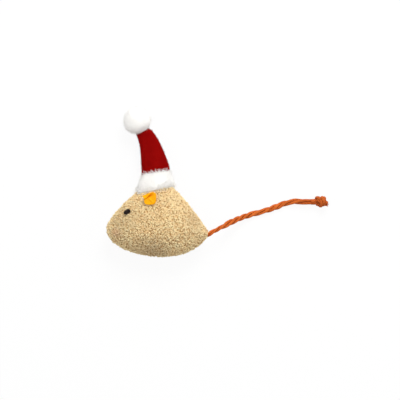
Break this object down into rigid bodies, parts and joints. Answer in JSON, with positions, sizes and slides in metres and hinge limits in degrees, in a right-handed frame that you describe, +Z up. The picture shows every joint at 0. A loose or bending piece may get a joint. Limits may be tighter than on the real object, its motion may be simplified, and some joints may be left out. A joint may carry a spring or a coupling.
{
  "type": "catnip mouse toy",
  "caption": "Stuffed fleece mouse with felt ears, a cord tail ending in a knot and a red felt cap with plush brim and pompom, lying on its flank.",
  "frame": {"origin": "middle of the flat on the right flank that the toy rests on", "axes": "+X toward the tail, -X toward the nose, +Y toward the back and the cap, +Z up off the surface"},
  "size_m": [0.1713, 0.1155, 0.039],
  "materials": {
    "fleece": "curly beige pile fabric",
    "sewing_thread": "matt polyester sewing thread",
    "fibre_filling": "loose white polyester fibre",
    "pouch_cloth": "thin non-woven pouch of dried catnip",
    "eye_thread": "black thread, slightly shiny",
    "orange_felt": "orange-yellow felt",
    "cord": "rust orange twisted cord",
    "white_plush": "soft white pile",
    "red_felt": "deep red short-pile felt"
  },
  "bodies": {
    "mouse": {"body_left_panel": "fleece", "body_right_panel": "fleece", "seam_thread": "sewing_thread", "closing_thread": "sewing_thread", "filling": "fibre_filling", "catnip_pouch": "pouch_cloth", "eye_thread": "eye_thread", "eye_left": "eye_thread", "eye_right": "eye_thread", "tail_inner_knot": "cord", "hat_brim": "white_plush", "hat_tie_thread": "sewing_thread"},
    "left_ear": {"ear_left": "orange_felt"},
    "right_ear": {"ear_right": "orange_felt"},
    "tail": {"tail_cord": "cord", "tail_knot": "cord"},
    "hat": {"hat_cone": "red_felt", "pompom_thread": "sewing_thread"},
    "pompom": {"hat_pompom": "white_plush"}
  },
  "joints": [
    {"name": "ear_left_flap", "type": "hinge", "parent": "mouse", "child": "left_ear", "pos_m": [-0.005, 0.01588, 0.03554], "axis": [0.9699, 0, 0.2434], "range_deg": [-20, 45], "stiffness_Nm_per_rad": 0.00005},
    {"name": "ear_right_flap", "type": "hinge", "parent": "mouse", "child": "right_ear", "pos_m": [-0.005, 0.01588, 0.00146], "axis": [-0.9699, 0, 0.2434], "range_deg": [0, 60], "stiffness_Nm_per_rad": 0.00005},
    {"name": "tail_swing", "type": "hinge", "parent": "mouse", "child": "tail", "pos_m": [0.0405, -0.007, 0.0185], "axis": [0, 0, 1], "range_deg": [-60, 60], "stiffness_Nm_per_rad": 0.0004},
    {"name": "hat_flop", "type": "hinge", "parent": "mouse", "child": "hat", "pos_m": [-0.00225, 0.03997, 0.02196], "axis": [0.9916, 0.1294, 0], "range_deg": [0, 85]},
    {"name": "pompom_swing", "type": "hinge", "parent": "hat", "child": "pompom", "pos_m": [-0.0123, 0.073, 0.0103], "axis": [-0.0953, 0.1586, 0.9827], "range_deg": [-35, 35]}
  ]
}
